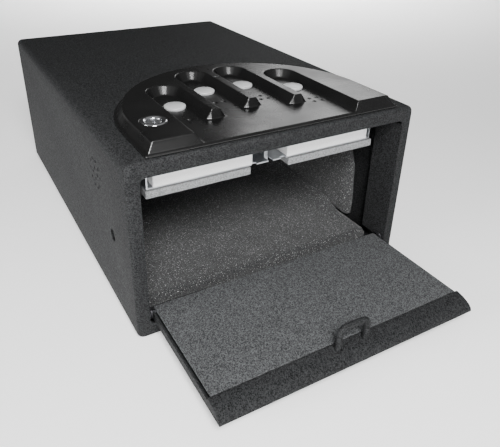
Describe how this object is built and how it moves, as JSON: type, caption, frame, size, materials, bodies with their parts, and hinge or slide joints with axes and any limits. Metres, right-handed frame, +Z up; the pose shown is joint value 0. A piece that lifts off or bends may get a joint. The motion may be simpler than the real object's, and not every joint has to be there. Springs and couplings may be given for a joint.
{
  "type": "pistol safe",
  "caption": "Small steel pistol safe with a drop-down front door, finger-button keypad, override key lock, solenoid latch and foam-lined cavity.",
  "frame": {"origin": "centre of the body's bottom face", "axes": "+X towards the safe's right seen from the front, -Y out of the door, +Z up"},
  "size_m": [0.206, 0.3916, 0.1287],
  "materials": {
    "textured_black_paint": "fine-grained textured powder coat",
    "black_moulded_plastic": "satin to glossy moulding",
    "pale_grey_plastic": "satin",
    "chromed_metal": "polished",
    "bright_steel": "bright",
    "zinc_plate": "zinc plated sheet",
    "white_plastic": "satin",
    "circuit_board": "solder mask",
    "black_component": "matte",
    "cell_sleeve": "printed sleeve over a metal can",
    "clear_lens": "clear",
    "charcoal_foam": "open-cell foam",
    "grey_foam": "open-cell foam"
  },
  "bodies": {
    "safe_body": {"body_shell": "textured_black_paint", "back_panel": "textured_black_paint", "keypad_bezel": "black_moulded_plastic", "indicator_led_left": "clear_lens", "indicator_led_right": "clear_lens", "keypad_board": "circuit_board", "control_board": "circuit_board", "board_post_left": "circuit_board", "board_post_right": "circuit_board", "button_switch_1": "black_component", "button_switch_2": "black_component", "button_switch_3": "black_component", "button_switch_4": "black_component", "control_chip": "black_component", "speaker": "black_component", "power_jack": "black_component", "lock_body": "chromed_metal", "lock_nut": "bright_steel", "tray_screw_1": "bright_steel", "tray_screw_2": "bright_steel", "tray_screw_3": "bright_steel", "tray_screw_4": "bright_steel", "latch_pivot_pin": "bright_steel", "hinge_pin_left": "bright_steel", "hinge_pin_right": "bright_steel", "door_spring_left": "bright_steel", "door_spring_right": "bright_steel", "electronics_tray": "zinc_plate", "latch_bracket": "zinc_plate", "solenoid_body": "zinc_plate", "battery_holder_left": "white_plastic", "battery_holder_right": "white_plastic", "battery_left_1": "cell_sleeve", "battery_left_2": "cell_sleeve", "battery_left_3": "cell_sleeve", "battery_left_4": "cell_sleeve", "battery_right_1": "cell_sleeve", "battery_right_2": "cell_sleeve", "battery_right_3": "cell_sleeve", "battery_right_4": "cell_sleeve", "floor_foam": "charcoal_foam", "side_foam_left": "charcoal_foam", "side_foam_right": "charcoal_foam", "ceiling_foam_left": "grey_foam", "ceiling_foam_right": "grey_foam"},
    "door": {"door_skin": "textured_black_paint", "door_inner_plate": "textured_black_paint", "striker_loop": "textured_black_paint"},
    "key_plug": {"lock_plug": "bright_steel", "lock_cam": "bright_steel"},
    "override_slide": {"override_link": "bright_steel"},
    "hook": {"latch_hook": "bright_steel"},
    "plunger": {"solenoid_plunger": "bright_steel", "plunger_pin": "bright_steel"},
    "finger_button_1": {"button_1": "pale_grey_plastic"},
    "finger_button_2": {"button_2": "pale_grey_plastic"},
    "finger_button_3": {"button_3": "pale_grey_plastic"},
    "finger_button_4": {"button_4": "pale_grey_plastic"}
  },
  "joints": [
    {"name": "door_hinge", "type": "hinge", "parent": "safe_body", "child": "door", "pos_m": [0, -0.147, 0.0135], "axis": [-1, 0, 0], "range_deg": [0, 90], "stiffness_Nm_per_rad": 0.02, "springref_deg": -28.65},
    {"name": "key_turn", "type": "hinge", "parent": "safe_body", "child": "key_plug", "pos_m": [-0.072, -0.1185, 0.12], "axis": [0, 0, -1], "range_deg": [0, 90]},
    {"name": "override_travel", "type": "slide", "parent": "safe_body", "child": "override_slide", "axis": [1, 0, 0], "range_m": [0, 0.008]},
    {"name": "hook_swing", "type": "hinge", "parent": "safe_body", "child": "hook", "pos_m": [-0.0022, -0.1125, 0.101], "axis": [1, 0, 0], "range_deg": [0, 24]},
    {"name": "plunger_travel", "type": "slide", "parent": "safe_body", "child": "plunger", "axis": [0, -1, 0], "range_m": [0, 0.00377]},
    {"name": "button_1_press", "type": "slide", "parent": "safe_body", "child": "finger_button_1", "axis": [0, 0, -1], "range_m": [0, 0.001], "stiffness_N_per_m": 300, "springref_m": -0.0003},
    {"name": "button_2_press", "type": "slide", "parent": "safe_body", "child": "finger_button_2", "axis": [0, 0, -1], "range_m": [0, 0.001], "stiffness_N_per_m": 300, "springref_m": -0.0003},
    {"name": "button_3_press", "type": "slide", "parent": "safe_body", "child": "finger_button_3", "axis": [0, 0, -1], "range_m": [0, 0.001], "stiffness_N_per_m": 300, "springref_m": -0.0003},
    {"name": "button_4_press", "type": "slide", "parent": "safe_body", "child": "finger_button_4", "axis": [0, 0, -1], "range_m": [0, 0.001], "stiffness_N_per_m": 300, "springref_m": -0.0003}
  ],
  "couplings": [
    {"joint": "override_travel", "follows": "key_turn", "m_per_rad": 0.00509},
    {"joint": "hook_swing", "follows": "plunger_travel", "rad_per_m": 111.1}
  ]
}
